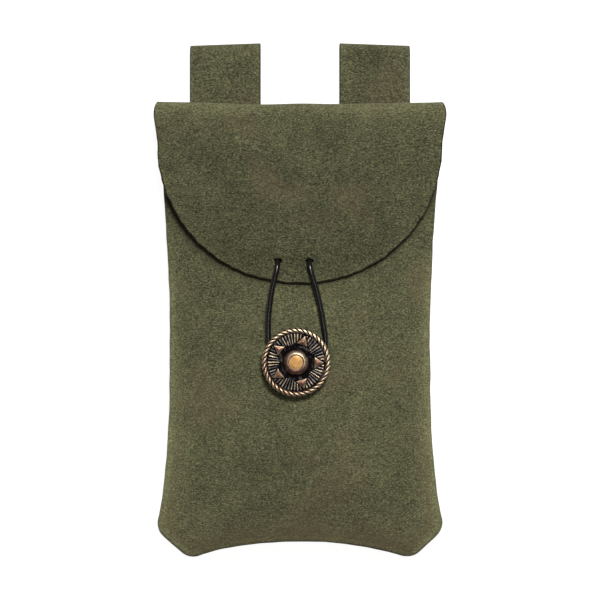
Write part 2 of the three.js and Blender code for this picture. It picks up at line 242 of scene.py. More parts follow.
# The cord's route from its left hole, below the post and back in: across, up from the fold, out.
CORD_ROUTE = [
    (-8.4, -59.6, 25.9),
    (-8.45, -60.9, 26.3),
    (-8.5, -62.1, 27.4),
    (-8.6, -63.3, 28.7),
    (-8.8, -64.9, 29.6),
    (-9.2, -67, 29.9),
    (-9.8, -69.4, 29.75),
    (-11, -74.8, 29.4),
    (-12, -82, 29),
    (-12.4, -88.6, 28.8),
    (-12.2, -93.8, 28.7),
    (-11.2, -98.3, 28.7),
    (-8.8, -102.3, 28.7),
    (-5.4, -104.9, 28.7),
    (-1.2, -105.9, 28.7),
    (3, -104.9, 28.7),
    (6.6, -102.3, 28.7),
    (9.2, -98.3, 28.7),
    (9.9, -93.8, 28.7),
    (9.3, -88.6, 28.8),
    (8.2, -82, 29),
    (6.6, -74.8, 29.4),
    (5, -69.4, 29.75),
    (4.25, -67, 29.9),
    (3.8, -64.9, 29.6),
    (3.6, -63.3, 28.7),
    (3.55, -62.1, 27.4),
    (3.55, -60.9, 26.3),
    (3.55, -59.6, 25.9),
]
ROUTE_IN_FLAP = 6

EDGE_HALF = EDGE_ROLL * (1 + math.sin(EDGE_TUCK))
LOOP_DEPTH = BELT_GAP + 2 * LEATHER
BACK_LEVEL = LOOP_DEPTH + LAY_GAP
FOLD_TOP = BACK_LEVEL + FOLD_DEPTH
FOLD_RADIUS = FOLD_DEPTH / 2
HEM_DOWN = POUCH_HEIGHT - CUT_RISE
CORNER_RUB_DOWN = (HEM_DOWN - 24, HEM_DOWN - 14)
HEM_SEAM_DARK_DOWN = (HEM_DOWN - 8, HEM_DOWN)
LOOP_SPACING = FOLD_WIDTH - LOOP_WIDTH - 2 * LOOP_INSET

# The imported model's own Y of the fold, from where the belt loops' sewn ends stop
FOLD_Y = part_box("belt_loop_left")[0].y * MM + LOOP_SEAM_DOWN + LOOP_TAIL


# Numbers and grids


def lerp(a, b, share):
    return a + (b - a) * share


def smooth(value, low, high):
    share = np.clip((value - low) / (high - low), 0, 1)
    return share * share * (3 - 2 * share)


def fading(distance, reach):
    """1 at no distance and less beyond it, a third at the reach."""
    return np.exp(-np.maximum(0, distance) / reach)


def hump(value, centre, width):
    """1 at the centre and less on both sides of it, a third at the width."""
    return np.exp(-(((value - centre) / width) ** 2))


def in_frame(points):
    """Points given from the top fold, placed in the frame in metres."""
    return (np.asarray(points, float) + [0, FOLD_Y, 0]) / MM


def waves(seed, wavelengths, count=14):
    """A smooth random field of X and Y, about -1 to 1, from plane waves between two lengths."""
    random = np.random.default_rng(seed)
    length = np.exp(random.uniform(*np.log(wavelengths), count))
    turn = random.uniform(0, 2 * math.pi, count)
    phase = random.uniform(0, 2 * math.pi, count)
    along = 2 * math.pi / length * np.cos(turn)
    up = 2 * math.pi / length * np.sin(turn)

    def field(x, y):
        total = sum(np.sin(a * x + b * y + p) for a, b, p in zip(along, up, phase))
        return total / math.sqrt(count)

    return field


dents = waves(11, (22, 70))
back_dents = waves(12, (25, 70))
edge_waver = waves(13, (7, 40))
cut_waver = waves(16, (2.4, 18))
pucker_drift = waves(14, (20, 60))
curl = waves(15, (18, 60))


def even_steps(points, step):
    """The same line with points a step apart."""
    lengths = np.linalg.norm(np.diff(points, axis=0), axis=1)
    run = np.concatenate([[0], np.cumsum(lengths)])
    wanted = np.linspace(0, run[-1], max(2, round(run[-1] / step) + 1))
    return np.stack([np.interp(wanted, run, column) for column in points.T], 1)


# Shape of the body


def side_edge(y):
    above = np.maximum(0, (WAIST_DOWN + y) / (WAIST_DOWN - MOUTH_DOWN))
    below = np.maximum(0, (-y - WAIST_DOWN) / (HEM_DOWN - WAIST_DOWN))
    shoulder = (MOUTH_WIDTH - WAIST_WIDTH) / 2 * above**SHOULDER_POWER
    flare = (HEM_WIDTH - WAIST_WIDTH) / 2 * below**FLARE_POWER
    return WAIST_WIDTH / 2 + shoulder + flare


def bottom_edge(x):
    return HEM_ARCH - POUCH_HEIGHT - HEM_ARCH * (np.abs(x) / (LOBE_SPACING / 2)) ** HEM_ARCH_POWER


def hem_point(x):
    return np.array([x, bottom_edge(x)])


HEM_CORNER = np.array([HEM_WIDTH / 2, -HEM_DOWN])
LOBE_CORNER = hem_point(HEM_WIDTH / 2 - CORNER_CUT)
CUT_LINE = (LOBE_CORNER - HEM_CORNER) / np.linalg.norm(LOBE_CORNER - HEM_CORNER)
CUT_NORMAL = np.array([-CUT_LINE[1], CUT_LINE[0]])


def edge_distance(x, y):
    """How far inside the seam a place is: its distances to side, hem and cut corner, blended."""
    across = np.abs(x)
    to_cut = (HEM_CORNER[0] - across) * CUT_NORMAL[0] + (HEM_CORNER[1] - y) * CUT_NORMAL[1]
    distances = [side_edge(y) - across, y - bottom_edge(x), to_cut]
    return sum(np.maximum(d, 0.01) ** -3.0 for d in distances) ** (-1 / 3)


def crown(shape, distance):
    return 1 - (1 - np.minimum(distance / shape["reach"], 1)) ** shape["power"]


def seam_height(y):
    return lerp(SEAM_HEIGHT_MOUTH, SEAM_HEIGHT_BELLY, smooth(-y, *SEAM_DROP_DOWN))


def knot_bump(x, y):
    """The knots press the front panel in and lift the flap."""
    total = 0
    for side in (-1, 1):
        across = x - KNOT_ACROSS - side * KNOT_SPACING / 2
        total = total + np.exp(-(across**2 + (y + KNOT_DOWN) ** 2) / (2 * KNOT_BUMP_WIDTH**2))
    return total


def front_height(x, y):
    distance = np.maximum(0, edge_distance(x, y) - EDGE_ROLL)
    rise = lerp(MOUTH_RISE, BELLY_RISE, smooth(-y, *BELLY_DOWN))
    soft = DENT * dents(x, y) * smooth(distance, 0, FRONT_DENT_EASE)
    level = seam_height(y) + SEAM_GAP / 2 + EDGE_HALF + rise * crown(FRONT_CROWN, distance)
    return level + soft - KNOT_PRESS * knot_bump(x, y)


def back_height(x, y):
    """The back is level behind the loops and sags onto the floor below them, where it lies flat."""
    distance = np.maximum(0, edge_distance(x, y) - EDGE_ROLL)
    rim = seam_height(y) - SEAM_GAP / 2 - EDGE_HALF
    middle = lerp(BACK_LEVEL, -BACK_SINK, smooth(-y, LOOP_SEAM_DOWN, WAIST_DOWN))
    raw = lerp(rim, middle, crown(BACK_CROWN, distance))
    below_loops = smooth(-y, *BACK_DENTS_DOWN)
    raw = raw + DENT * back_dents(x, y) * smooth(distance, 0, BACK_DENT_EASE) * below_loops
    return np.where(raw > BACK_EASE, raw, np.maximum(0, raw + BACK_EASE) ** 2 / (4 * BACK_EASE))


def flap_height(x, y):
    on_body = np.sign(x) * np.minimum(np.abs(x), side_edge(y) - EDGE_ROLL)
    lift = FLAP_EDGE_LIFT * (np.abs(x) / (FOLD_WIDTH / 2)) ** FLAP_LIFT_POWER
    lift = lift + FLAP_LEFT_LIFT * (np.maximum(0, -x) / (FOLD_WIDTH / 2)) ** FLAP_LEFT_POWER
    bump = (KNOT_THICKNESS + 3 * LAY_GAP) * knot_bump(x, y)
    resting = front_height(on_body, y) + FLAP_CLEARANCE + LEATHER + lift + bump
    return lerp(FOLD_TOP, resting, smooth(-y, FOLD_RADIUS, 2 * FLAP_ROUND_DOWN))


# Walls of leather


def surface_normals(points, faces):
    """Each point's direction, from the faces round it."""
    a, b, c, d = (points[faces[:, k]] for k in range(4))
    across = np.cross(c - a, d - b)
    normals = np.zeros_like(points)
    for k in range(4):
        np.add.at(normals, faces[:, k], across)
    return normals / np.maximum(np.linalg.norm(normals, axis=1, keepdims=True), 1e-12)


def welded(points, faces, tolerance=0.002):
    """The sheet with points that share a place made one, and with faces that have no area left out."""
    keys = np.round(points / tolerance).astype(np.int64)
    _, first, index = np.unique(keys, axis=0, return_index=True, return_inverse=True)
    faces = index.reshape(-1)[faces]
    distinct = np.array([len(set(face)) >= 3 for face in faces.tolist()])
    return points[first], faces[distinct], first


def grid_faces(rows, columns):
    index = np.arange(rows * columns).reshape(rows, columns)
    corners = [index[:-1, :-1], index[:-1, 1:], index[1:, 1:], index[1:, :-1]]
    return np.stack([corner.ravel() for corner in corners], 1)


def open_edges(faces):
    """The sheet's border, as pairs of points that follow their faces round."""
    edges = np.concatenate([faces[:, [k, (k + 1) % 4]] for k in range(4)])
    edges = edges[edges[:, 0] != edges[:, 1]]
    present = set(map(tuple, edges.tolist()))
    return np.array([edge for edge in present if edge[::-1] not in present])


def wall(grid, tones, thickness=LEATHER, raw_edge=RAW_EDGE):
    """A closed wall from a grid of points: its face, the same face behind it, and rounded edges.

    Tones are named numbers for each point, which the material reads. "cut" is 1 on the raw edges; on a
    face it can also hold painted shade.
    """
    rows, columns, _ = grid.shape
    points, faces, first = welded(grid.reshape(-1, 3), grid_faces(rows, columns))
    tones = {name: np.asarray(value, float).reshape(-1)[first] for name, value in tones.items()}
    normals = surface_normals(points, faces)
    border = open_edges(faces)
    along = points[border[:, 1]] - points[border[:, 0]]
    outward = np.zeros_like(points)
    for k in range(2):
        np.add.at(outward, border[:, k], np.cross(along, normals[border[:, k]]))
    rim = np.unique(border)
    outward[rim] /= np.maximum(np.linalg.norm(outward[rim], axis=1, keepdims=True), 1e-9)
    count = len(points)
    behind = points - normals * thickness
    rings = []
    for centre, turns in ((raw_edge, (60, 30, 0)), (thickness - raw_edge, (0, -30, -60))):
        for turn in np.radians(turns):
            out = raw_edge * (math.cos(turn) - 1)
            down = centre - raw_edge * math.sin(turn)
            rings.append(points[rim] + outward[rim] * out - normals[rim] * down)
    face_rim = points[rim] - outward[rim] * raw_edge
    back_rim = behind[rim] - outward[rim] * raw_edge
    points = points.copy()
    points[rim] = face_rim
    behind[rim] = back_rim
    place = np.zeros(count, int)
    place[rim] = np.arange(len(rim))
    bands = [2 * count + k * len(rim) + place[border] for k in range(len(rings))]
    levels = [border, *bands, border + count]
    quads = [faces, faces[:, ::-1] + count]
    for upper, lower in zip(levels, levels[1:]):
        quads.append(np.stack([upper[:, 1], upper[:, 0], lower[:, 0], lower[:, 1]], 1))
    everything = np.concatenate([points, behind, *rings])
    on_edge = np.ones(len(rings) * len(rim))
    cut = tones.pop("cut", np.zeros(count))
    values = {name: np.concatenate([value, value, 0 * on_edge]) for name, value in tones.items()}
    values["cut"] = np.concatenate([cut, cut, on_edge])
    return everything, np.concatenate(quads), values


def mesh_object(name, points, faces, values=None, material=None):
    """A smooth mesh object in metres, with its named numbers for each point."""
    mesh = bpy.data.meshes.new(name)
    corners = [list(dict.fromkeys(face)) for face in faces.tolist()]
    mesh.from_pydata(in_frame(points).tolist(), [], corners)
    mesh.polygons.foreach_set("use_smooth", [True] * len(mesh.polygons))
    for key, value in (values or {}).items():
        attribute = mesh.attributes.new(key, "FLOAT", "POINT")
        attribute.data.foreach_set("value", np.asarray(value, np.float32))
    mesh.update()
    piece = bpy.data.objects.new(name, mesh)
    bpy.context.scene.collection.objects.link(piece)
    if material:
        mesh.materials.append(material)
    return piece


def cut_hole(piece, points, diameter, sides=24):
    """Cuts a round hole through a piece along a short line of points."""
    cutter_points, cutter_faces = tube(np.array(points, float), diameter / 2, sides)
    cutter = mesh_object("hole_cutter", cutter_points, cutter_faces)
    drill = piece.modifiers.new("hole", "BOOLEAN")
    drill.operation = "DIFFERENCE"
    drill.solver = "MANIFOLD"
    drill.object = cutter
    graph = bpy.context.evaluated_depsgraph_get()
    result = bpy.data.meshes.new_from_object(piece.evaluated_get(graph), depsgraph=graph)
    piece.modifiers.remove(drill)
    piece.data = result
    bpy.data.objects.remove(cutter)


def tube(line, radius, sides):
    """A closed tube of quads along a line, with its ends closed to a point."""
    along = np.gradient(line, axis=0)
    along /= np.linalg.norm(along, axis=1, keepdims=True)
    lead = np.array([1.0, 0, 0]) if abs(along[0][0]) < 0.9 else np.array([0, 1.0, 0])
    rings = []
    for point, forward in zip(line, along):
        lead = lead - forward * (lead @ forward)
        lead /= np.linalg.norm(lead)
        side = np.cross(forward, lead)
        turns = 2 * math.pi * np.arange(sides) / sides
        rings.append(point + radius * (np.cos(turns)[:, None] * lead + np.sin(turns)[:, None] * side))
    points = np.concatenate([*rings, line[:1], line[-1:]])
    faces = []
    for i in range(len(line) - 1):
        for k in range(sides):
            after = (k + 1) % sides
            low, high = i * sides, (i + 1) * sides
            faces.append([low + k, low + after, high + after, high + k])
    start = len(line) * sides
    last = (len(line) - 1) * sides
    for k in range(sides):
        after = (k + 1) % sides
        faces.append([start, after, k, k])
        faces.append([start + 1, last + k, last + after, last + after])
    return points, np.array(faces)


# Rows of the panels and the hide, each from its edge in to the middle line


def rounded_corner(before, corner, after):
    arms = [point - corner for point in (before, after)]
    start, end = (corner + arm * CORNER_ROUND / np.linalg.norm(arm) for arm in arms)
    share = np.linspace(0, 1, 17)[:, None]
    return (1 - share) ** 2 * start + 2 * share * (1 - share) * corner + share**2 * end


def panel_outline():
    """The seam line from the middle of the hem, round the cut corner and up the side to the mouth."""

    def side(y):
        return np.stack([side_edge(y), y], 1)

    lobe = rounded_corner(hem_point(LOBE_CORNER[0] - 2 * CORNER_ROUND), LOBE_CORNER, HEM_CORNER)
    above = side(np.array([2 * CORNER_ROUND - HEM_DOWN]))[0]
    corner = rounded_corner(LOBE_CORNER, HEM_CORNER, above)
    hem = np.array([hem_point(x) for x in np.linspace(0, lobe[0][0], 60)[:-1]])
    sides = side(np.linspace(corner[-1][1], -MOUTH_DOWN, 160)[1:])
    return even_steps(np.concatenate([hem, lobe, corner, sides]), ROW_STEP)


def inward_of(outline):
    before = np.concatenate([[outline[1] * [-1, 1]], outline[:-1]])
    after = np.concatenate([outline[1:], [2 * outline[-1] - outline[-2]]])
    along = after - before
    along /= np.linalg.norm(along, axis=1, keepdims=True)
    return np.stack([-along[:, 1], along[:, 0]], 1)


def inward_shares():
    """Shares of a row from the edge to the middle line, closer together near the edge."""
    share = np.linspace(0, 1, INWARD_STEPS)
    return 0.6 * share + 0.4 * share**2


OUTLINE = panel_outline()
INWARD = inward_of(OUTLINE)
RUN = np.concatenate([[0], np.cumsum(np.linalg.norm(np.diff(OUTLINE, axis=0), axis=1))])
SHARES = inward_shares()
ROLL = np.linspace(-EDGE_TUCK, math.pi / 2, ROLL_STEPS + 1)[:-1]


def both_halves(rows_of):
    """The whole sheet from its right half, side 1, and its left half, side -1."""
    right, left = rows_of(1), rows_of(-1)
    return np.concatenate([right, left[:, -2::-1]], axis=1)


def panel_rows(facing, side):
    """Half a panel. Facing is 1 for the front and -1 for the back."""
    run = side * RUN
    wobble = EDGE_WOBBLE * edge_waver(run, 0 * run + 40 * facing) * smooth(RUN, 0, WOBBLE_EASE)
    outline = OUTLINE - INWARD * wobble[:, None]
    pucker = np.cos(2 * math.pi * run / PUCKER_LENGTH + 2.5 * pucker_drift(run, 0 * run))
    heights = front_height if facing > 0 else back_height
    columns = []
    for angle in ROLL:
        spot = outline + INWARD * EDGE_ROLL * (1 - math.cos(angle))
        rise = EDGE_ROLL * (math.sin(angle) + math.sin(EDGE_TUCK))
        z = seam_height(spot[:, 1]) + facing * (SEAM_GAP / 2 + rise)
        columns.append(np.stack([side * spot[:, 0], spot[:, 1], z], 1))
    start = outline + INWARD * EDGE_ROLL
    spine = np.stack([0 * start[:, 0], np.maximum(start[:, 1], -FAN_DOWN)], 1)
    reach = np.linalg.norm(spine - start, axis=1)
    for share in SHARES:
        spot = lerp(start, spine, share)
        x, y = side * spot[:, 0], spot[:, 1]
        z = heights(x, y)
        depth = share * reach
        fold = PUCKER * pucker * np.exp(-depth / PUCKER_REACH) * smooth(depth, 0, 2)
        if facing > 0:
            z = z + fold
        columns.append(np.stack([x, y, z], 1))
    return np.stack(columns, 1)


def flat_rows(edges, spine_y, side, place):
    """Rows of the flap or the fold, from their edges to the middle line."""
    spines = np.stack([0 * edges[:, 0], spine_y], 1)
    rim = EDGE_ROLL / np.linalg.norm(edges - spines, axis=1)
    rolled = [rim * k / len(ROLL) for k in range(len(ROLL))]
    inner = [lerp(rim, 1, share) for share in SHARES]
    columns = []
    for share in rolled + inner:
        spot = lerp(edges, spines, share[:, None])
        columns.append(place(side * spot[:, 0], spot[:, 1]))
    return np.stack(columns, 1)


def fold_dip(x):
    return FOLD_DIP * (1 - (x / (FOLD_WIDTH / 2)) ** 2)


def fold_edge(down):
    return FOLD_WIDTH / 2 - FOLD_CORNER_TUCK * np.maximum(0, 1 - down / FOLD_RADIUS) ** 3


def unrolled_rows(mouth_row, side, steps=9):
    """The back's rolled edges open out flat between the mouth and the fold."""
    share = np.arange(1, steps + 1) / steps
    y = lerp(-MOUTH_DOWN, -FOLD_RADIUS, share)
    edges = np.stack([lerp(MOUTH_WIDTH / 2, FOLD_WIDTH / 2, share), y], 1)

    def level(x, up):
        return np.stack([x, up - fold_dip(x) * share, 0 * x], 1)

    rows = flat_rows(edges, y, side, level)
    flat = smooth(share, 0, 0.8)[:, None]
    rows[:, :, 2] = lerp(mouth_row[None, :, 2], BACK_LEVEL, flat)
    return rows


def fold_rows(side, steps=15):
    turn = math.pi * np.arange(1, steps) / steps
    y = FOLD_RADIUS * (np.sin(turn) - 1)
    z = FOLD_TOP - FOLD_RADIUS * (1 + np.cos(turn))

    def place(x, up):
        sag = FOLD_SAG * curl(x, 0 * x) * np.sin(turn)
        return np.stack([x, up - fold_dip(x) + sag, z + 0 * x], 1)

    return flat_rows(np.stack([fold_edge(-y), y], 1), y, side, place)


def flap_outline():
    """The flap's edge from the fold's bend, down its side and round to the middle of its tip."""
    down = np.linspace(FOLD_RADIUS, FLAP_ROUND_DOWN, 12)[:-1]
    share = (down - FOLD_RADIUS) / (FLAP_ROUND_DOWN - FOLD_RADIUS)
    side = np.stack([lerp(FOLD_WIDTH, FLAP_ROUND_WIDTH, share) / 2, -down], 1)
    turn = np.linspace(0, math.pi / 2, 400)
    x = FLAP_ROUND_WIDTH / 2 * np.cos(turn) ** (2 / FLAP_POWER)
    y = -lerp(FLAP_ROUND_DOWN, FLAP_LENGTH, np.sin(turn) ** (2 / FLAP_POWER))
    x[-1] = 0
    return even_steps(np.concatenate([side, np.stack([x, y], 1)]), ROW_STEP)


def flap_rows(side):
    edges = flap_outline()
    run = np.arange(len(edges)) * ROW_STEP
    to_tip = run[-1] - run
    waver = cut_waver(-side * to_tip, 0 * run) * smooth(run, 0, FLAP_WOBBLE_EASE) * smooth(to_tip, 0, 3)
    outward = edges / np.linalg.norm(edges + [0, FLAP_CENTRE_DOWN], axis=1, keepdims=True)
    edges = edges + outward * (EDGE_WOBBLE * waver)[:, None]
    edges[-1, 0] = 0

    def place(x, y):
        dip = fold_dip(x) * (1 - smooth(-y, FOLD_RADIUS, FLAP_ROUND_DOWN))
        return np.stack([x, y - dip, flap_height(x, y)], 1)

    return flat_rows(edges, np.maximum(edges[:, 1], -FLAP_CENTRE_DOWN), side, place)


# Node helper and colours


def linear(code, alpha=1):
    """An sRGB hex colour as the linear colour that a shader takes."""

    def channel(start):
        share = int(code[start : start + 2], 16) / 255
        return share / 12.92 if share <= 0.04045 else ((share + 0.055) / 1.055) ** 2.4

    return (channel(0), channel(2), channel(4), alpha)


def add(material, kind, inputs=None, **settings):
    """Adds one node. Settings are its properties. An input is a value or the socket that feeds it."""
    node = material.node_tree.nodes.new(kind)
    for name, value in settings.items():
        setattr(node, name, value)
    for name, value in (inputs or {}).items():
        if isinstance(value, bpy.types.NodeSocket):
            material.node_tree.links.new(value, node.inputs[name])
        else:
            node.inputs[name].default_value = value
    return node


def new_material(name, **values):
    """A material with one shader, whose sockets have the given values, and the object's own place."""
    material = bpy.data.materials.new(name)
    material.use_nodes = True
    material.node_tree.nodes.clear()
    values = {key.replace("_", " "): value for key, value in values.items()}
    shader = add(material, "ShaderNodeBsdfPrincipled", values)
    output = add(material, "ShaderNodeOutputMaterial")
    material.node_tree.links.new(shader.outputs[0], output.inputs["Surface"])
    place = add(material, "ShaderNodeTexCoord").outputs["Object"]
    return material, shader, place


def feed(material, socket, source):
    material.node_tree.links.new(source, socket)


def noise(material, place, size, detail=2, roughness=0.6):
    """Cloudy noise whose lumps are about a size in millimetres across."""
    inputs = {"Vector": place, "Scale": MM / size, "Detail": detail, "Roughness": roughness}
    return add(material, "ShaderNodeTexNoise", inputs).outputs["Fac"]


def ranged(material, value, low, high, to_low=0, to_high=1):
    inputs = {"Value": value, "From Min": low, "From Max": high, "To Min": to_low, "To Max": to_high}
    return add(material, "ShaderNodeMapRange", inputs).outputs[0]


def maths(material, operation, a, b):
    return add(material, "ShaderNodeMath", {0: a, 1: b}, operation=operation).outputs[0]


def total(material, first, *others):
    for other in others:
        first = maths(material, "ADD", first, other)
    return first


def mixed(material, share, a, b):
    """A colour between two: each is an sRGB hex code or a colour socket."""
    a, b = (linear(colour) if isinstance(colour, str) else colour for colour in (a, b))
    return add(material, "ShaderNodeMix", {0: share, 6: a, 7: b}, data_type="RGBA").outputs[2]


def tone(material, name):
    return add(material, "ShaderNodeAttribute", attribute_name=name).outputs["Fac"]


# Materials


def olive_suede():
    """Suede: split hide, dyed olive and brushed. Its nap gives a matt, finely speckled, cloudy face."""
    material, shader, place = new_material(
        "olive_suede",
        Roughness=0.92,
        Specular_IOR_Level=0.2,
        Sheen_Weight=0.12,
        Sheen_Roughness=0.45,
        Sheen_Tint=linear("b0ad88"),
    )
    # Real nap is about 0.1 mm, too fine to show. It is drawn at 0.55 mm, longer across the pouch.
    stretch = {0: place, 1: (0.7, 1.3, 1)}
    brushed = add(material, "ShaderNodeVectorMath", stretch, operation="MULTIPLY").outputs[0]
    nap = noise(material, brushed, 0.55, 2, 0.7)
    tufts = noise(material, brushed, 1.6, 2)
    shade = total(
        material,
        ranged(material, nap, 0.27, 0.73, 0.16, 0.79),
        ranged(material, tufts, 0.3, 0.7, -0.06, 0.06),
        ranged(material, noise(material, place, 12, 2), 0.3, 0.7, -0.04, 0.04),
        ranged(material, noise(material, place, 34, 1), 0.3, 0.7, -0.025, 0.025),
        # The lightening is partly wear and partly painted sheen and highlight; the darkening is the
        # flap's and loops' darker dyed tone, and painted shade on the body's right side.
        ranged(material, tone(material, "rub_and_painted_light"), 0, 1, 0, 0.21),
        ranged(material, tone(material, "dye_and_shade"), 0, 2, 0, -0.12),
    )
    colour = mixed(material, maths(material, "POWER", shade, 2.0), "1e1f15", "a09f73")
    stain = noise(material, place, 26, 2)
    colour = mixed(material, ranged(material, stain, 0.56, 0.7, 0, 0.22), colour, "64503e")
    colour = mixed(material, ranged(material, tone(material, "brown"), 0, 1, 0, 0.5), colour, "564834")
    # The raw edges' dark colour, also used to paint the flap's shadow on the front and to darken the low
    # seam.
    colour = mixed(material, ranged(material, tone(material, "cut"), 0, 1, 0, 0.85), colour, "262118")
    feed(material, shader.inputs["Base Color"], colour)
    height = maths(material, "ADD", nap, maths(material, "MULTIPLY", tufts, 1.4))
    bump = add(material, "ShaderNodeBump", {"Height": height, "Strength": 0.7, "Distance": 0.25 / MM})
    feed(material, shader.inputs["Normal"], bump.outputs[0])
    return material


def black_leather_cord():
    """Round leather cord, dyed black and waxed: nearly black with a soft light along it."""
    looks = {"Roughness": 0.26, "IOR": 1.5, "Specular_IOR_Level": 0.4}
    material, shader, place = new_material("black_leather_cord", **looks)
    grain = noise(material, place, 0.5, 3)
    colour = mixed(material, ranged(material, grain, 0.35, 0.7), "060605", "14110e")
    feed(material, shader.inputs["Base Color"], colour)
    bump = add(material, "ShaderNodeBump", {"Height": grain, "Strength": 0.25, "Distance": 0.1 / MM})
    feed(material, shader.inputs["Normal"], bump.outputs[0])
    return material


def antique_brass():
    """Cast brass, blackened and rubbed back: dark recesses, brown slopes and pale gold tops, with
    painted light towards the upper right and painted shade to the lower left.
    """
    material, shader, place = new_material("antique_brass", Metallic=1.0)
    worn_and_lit = tone(material, "worn_and_lit")
    gold = tone(material, "gold")
    copper_and_shade = tone(material, "copper_and_shade")
    patches = noise(material, place, 1.8, 2)
    rub_and_painted_light = maths(material, "ADD", worn_and_lit, ranged(material, patches, 0.3, 0.7, -0.22, 0.22))
    colour = mixed(material, ranged(material, rub_and_painted_light, 0.05, 0.55), "0d0c0d", "76706e")
    colour = mixed(material, ranged(material, rub_and_painted_light, 0.5, 1.0), colour, "ead3ae")
    colour = mixed(material, copper_and_shade, colour, mixed(material, rub_and_painted_light, "38251c", "a87a5e"))
    colour = mixed(material, gold, colour, mixed(material, rub_and_painted_light, "573d22", "a8804f"))
    feed(material, shader.inputs["Base Color"], colour)
    feed(material, shader.inputs["Roughness"], ranged(material, rub_and_painted_light, 0, 1, 0.6, 0.42))
    pits = noise(material, place, 0.35, 2)
    bump = add(material, "ShaderNodeBump", {"Height": pits, "Strength": 0.2, "Distance": 0.05 / MM})
    feed(material, shader.inputs["Normal"], bump.outputs[0])
    return material


def waxed_linen_thread():
    """Twisted linen thread, waxed: matt olive brown with its twist as fine slanting lines."""
    material, shader, place = new_material("waxed_linen_thread", Roughness=0.7)
    # The texture's lines lie pi / 10 of its size apart, so the twist repeats every 0.8 mm
    twist = {"Vector": place, "Scale": MM / 2.6, "Distortion": 1.5}
    strands = add(material, "ShaderNodeTexWave", twist).outputs["Fac"]
    feed(material, shader.inputs["Base Color"], mixed(material, strands, "3a3526", "6b6448"))
    return material


def pale_paper():
    """Matt white paper on a light table: its own glow keeps the shadows on it faint."""
    looks = {"Roughness": 0.9, "Emission_Color": linear("ffffff"), "Emission_Strength": 0.93}
    material, shader, place = new_material("pale_paper", **looks)
    mottle = noise(material, place, 40, 2)
    feed(material, shader.inputs["Base Color"], mixed(material, mottle, "939392", "979796"))
    return material


def place_on_pouch(piece, slot, *nodes):
    """The piece stands for CAD nodes and rides on the pouch. Its slot is not used."""
    if nodes:
        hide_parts(*nodes)
    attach(piece, "root")
    return piece


# Camera and cord come first


def camera():
    """Straight down onto the pouch as it lies, from far off, as the photograph was taken."""
    distance = 1200
    subject_height = 12
    subject_up = -0.4
    frame_width = 236.4
    place = Vector((0, subject_up, subject_height + distance)) / MM
    lens = bpy.data.cameras.new("camera")
    lens.sensor_width = 36
    lens.lens = lens.sensor_width * distance / frame_width
    lens.clip_start = 0.01
    lens.clip_end = 10
    viewer = bpy.data.objects.new("camera", lens)
    viewer.location = place
    bpy.context.scene.collection.objects.link(viewer)
    bpy.context.scene.camera = viewer


def rounded_line(points, steps=ROUTE_STEPS):
    """A smooth line through all the points."""
    ends = np.concatenate([[2 * points[0] - points[1]], points, [2 * points[-1] - points[-2]]])
    line = []
    for a, b, c, d in zip(ends, ends[1:], ends[2:], ends[3:]):
        for k in range(steps):
            t = k / steps
            bend = (2 * a - 5 * b + 4 * c - d) * t**2 + (3 * b - a - 3 * c + d) * t**3
            line.append((2 * b + (c - a) * t + bend) / 2)
    return np.array([*line, points[-1]])


def closure_cord(material):
    line = rounded_line(np.array(CORD_ROUTE, float))
    curve = bpy.data.curves.new("closure_cord_dressed", "CURVE")
    curve.dimensions = "3D"
    curve.bevel_depth = CORD_DIAMETER / 2 / MM
    curve.bevel_resolution = 5
    curve.use_fill_caps = True
    spline = curve.splines.new("POLY")
    spline.points.add(len(line) - 1)
    for point, place in zip(spline.points, in_frame(line)):
        point.co = (*place, 1)
    spline.use_smooth = True
    curve.materials.append(material)
    cord = bpy.data.objects.new(curve.name, curve)
    bpy.context.scene.collection.objects.link(cord)
    length = np.linalg.norm(np.diff(line, axis=0), axis=1).sum()
    return place_on_pouch(cord, "cord_leather", "closure_cord"), length


def cord_knot(side, material):
    """The cord's stopper knot: a flat bun with the cord's turns as ridges round it."""
    x = KNOT_ACROSS + side * KNOT_SPACING / 2
    name = "cord_knot_right" if side > 0 else "cord_knot_left"
    low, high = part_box(name)
    middle = (low.z + high.z) / 2 * MM
    rows, columns = KNOT_GRID
    rise = np.linspace(-math.pi / 2, math.pi / 2, rows)[:, None]
    turn = np.linspace(0, 2 * math.pi, columns + 1)[None, :]
    ridge = np.abs(np.sin(KNOT_TURNS * (rise + side * turn / 2))) ** 0.7
    radius = 1 - KNOT_GROOVE * (1 - ridge) * np.cos(rise)
    across = KNOT_DIAMETER / 2 * radius * np.cos(rise)
    points = np.stack([x + across * np.cos(turn), -KNOT_DOWN + across * np.sin(turn)], -1)
    height = middle + KNOT_THICKNESS / 2 * radius * np.sin(rise) + 0 * turn
    grid = np.concatenate([points, height[..., None]], -1)
    points, faces, _ = welded(grid.reshape(-1, 3), grid_faces(rows, columns + 1))
    knot = mesh_object(name + "_dressed", points, faces, material=material)
    return place_on_pouch(knot, "cord_leather", name)


# Pieces


def flap_reach(x, y):
    """How far out on the flap a place lies: 1 is its edge."""
    across = np.abs(x) / (FLAP_ROUND_WIDTH / 2)
    down = np.maximum(0, -y - FLAP_ROUND_DOWN) / (FLAP_LENGTH - FLAP_ROUND_DOWN)
    return (across**FLAP_POWER + down**FLAP_POWER) ** (1 / FLAP_POWER)


